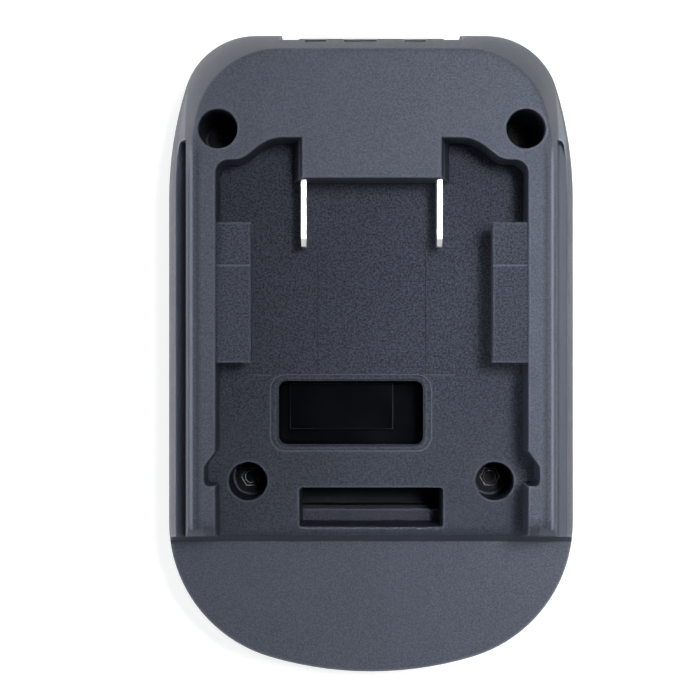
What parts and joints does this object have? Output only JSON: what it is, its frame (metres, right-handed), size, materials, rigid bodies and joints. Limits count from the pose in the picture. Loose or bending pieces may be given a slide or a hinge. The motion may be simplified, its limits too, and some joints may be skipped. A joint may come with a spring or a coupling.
{
  "type": "battery adapter",
  "caption": "Slide-on adapter that carries a tool battery in its tray and slides onto a tool through a rail foot with its own terminals and push-button latch.",
  "frame": {"origin": "centre of the bounding box's base: the outer face of the tool-side rail foot", "axes": "+X across the body to the right, +Y along the body from the chin to the terminal end, +Z from the tool-side rails up to the battery tray"},
  "size_m": [0.075, 0.118, 0.044],
  "materials": {
    "shell": "moulded blue-grey plastic with a fine spark texture in the tray",
    "dark_plastic": "black glass-filled plastic",
    "button_plastic": "near-black moulded plastic",
    "cover_black": "glossy black plastic",
    "blade_metal": "bright nickel plating",
    "clip_brass": "stamped brass",
    "screw_steel": "black zinc plating",
    "spring_steel": "drawn spring wire",
    "board_green": "green solder mask",
    "chip_black": "moulded epoxy",
    "capacitor_can": "drawn aluminium can",
    "wire_red": "red insulation",
    "wire_black": "black insulation"
  },
  "bodies": {
    "adapter": {"battery_side_shell": "shell", "tool_side_shell": "dark_plastic", "terminal_holder": "dark_plastic", "positive_output_clip": "clip_brass", "signal_output_clip": "clip_brass", "negative_output_clip": "clip_brass", "positive_input_blade": "blade_metal", "negative_input_blade": "blade_metal", "blade_retainer": "dark_plastic", "circuit_board": "board_green", "power_transistors": "chip_black", "control_chip": "chip_black", "chip_resistors": "chip_black", "board_capacitor": "capacitor_can", "inner_cover": "cover_black", "case_screws": "screw_steel", "board_screws": "screw_steel", "retainer_screws": "screw_steel", "latch_spring_right": "spring_steel", "latch_spring_left": "spring_steel", "positive_wire": "wire_red", "negative_wire": "wire_black"},
    "latch": {"latch_slide": "dark_plastic", "latch_button": "button_plastic"}
  },
  "joints": [
    {"name": "latch_lift", "type": "slide", "parent": "adapter", "child": "latch", "axis": [0, 0, 1], "range_m": [0, 0.0045], "stiffness_N_per_m": 1000, "springref_m": -0.003, "deforming": ["latch_spring_right", "latch_spring_left"]}
  ]
}
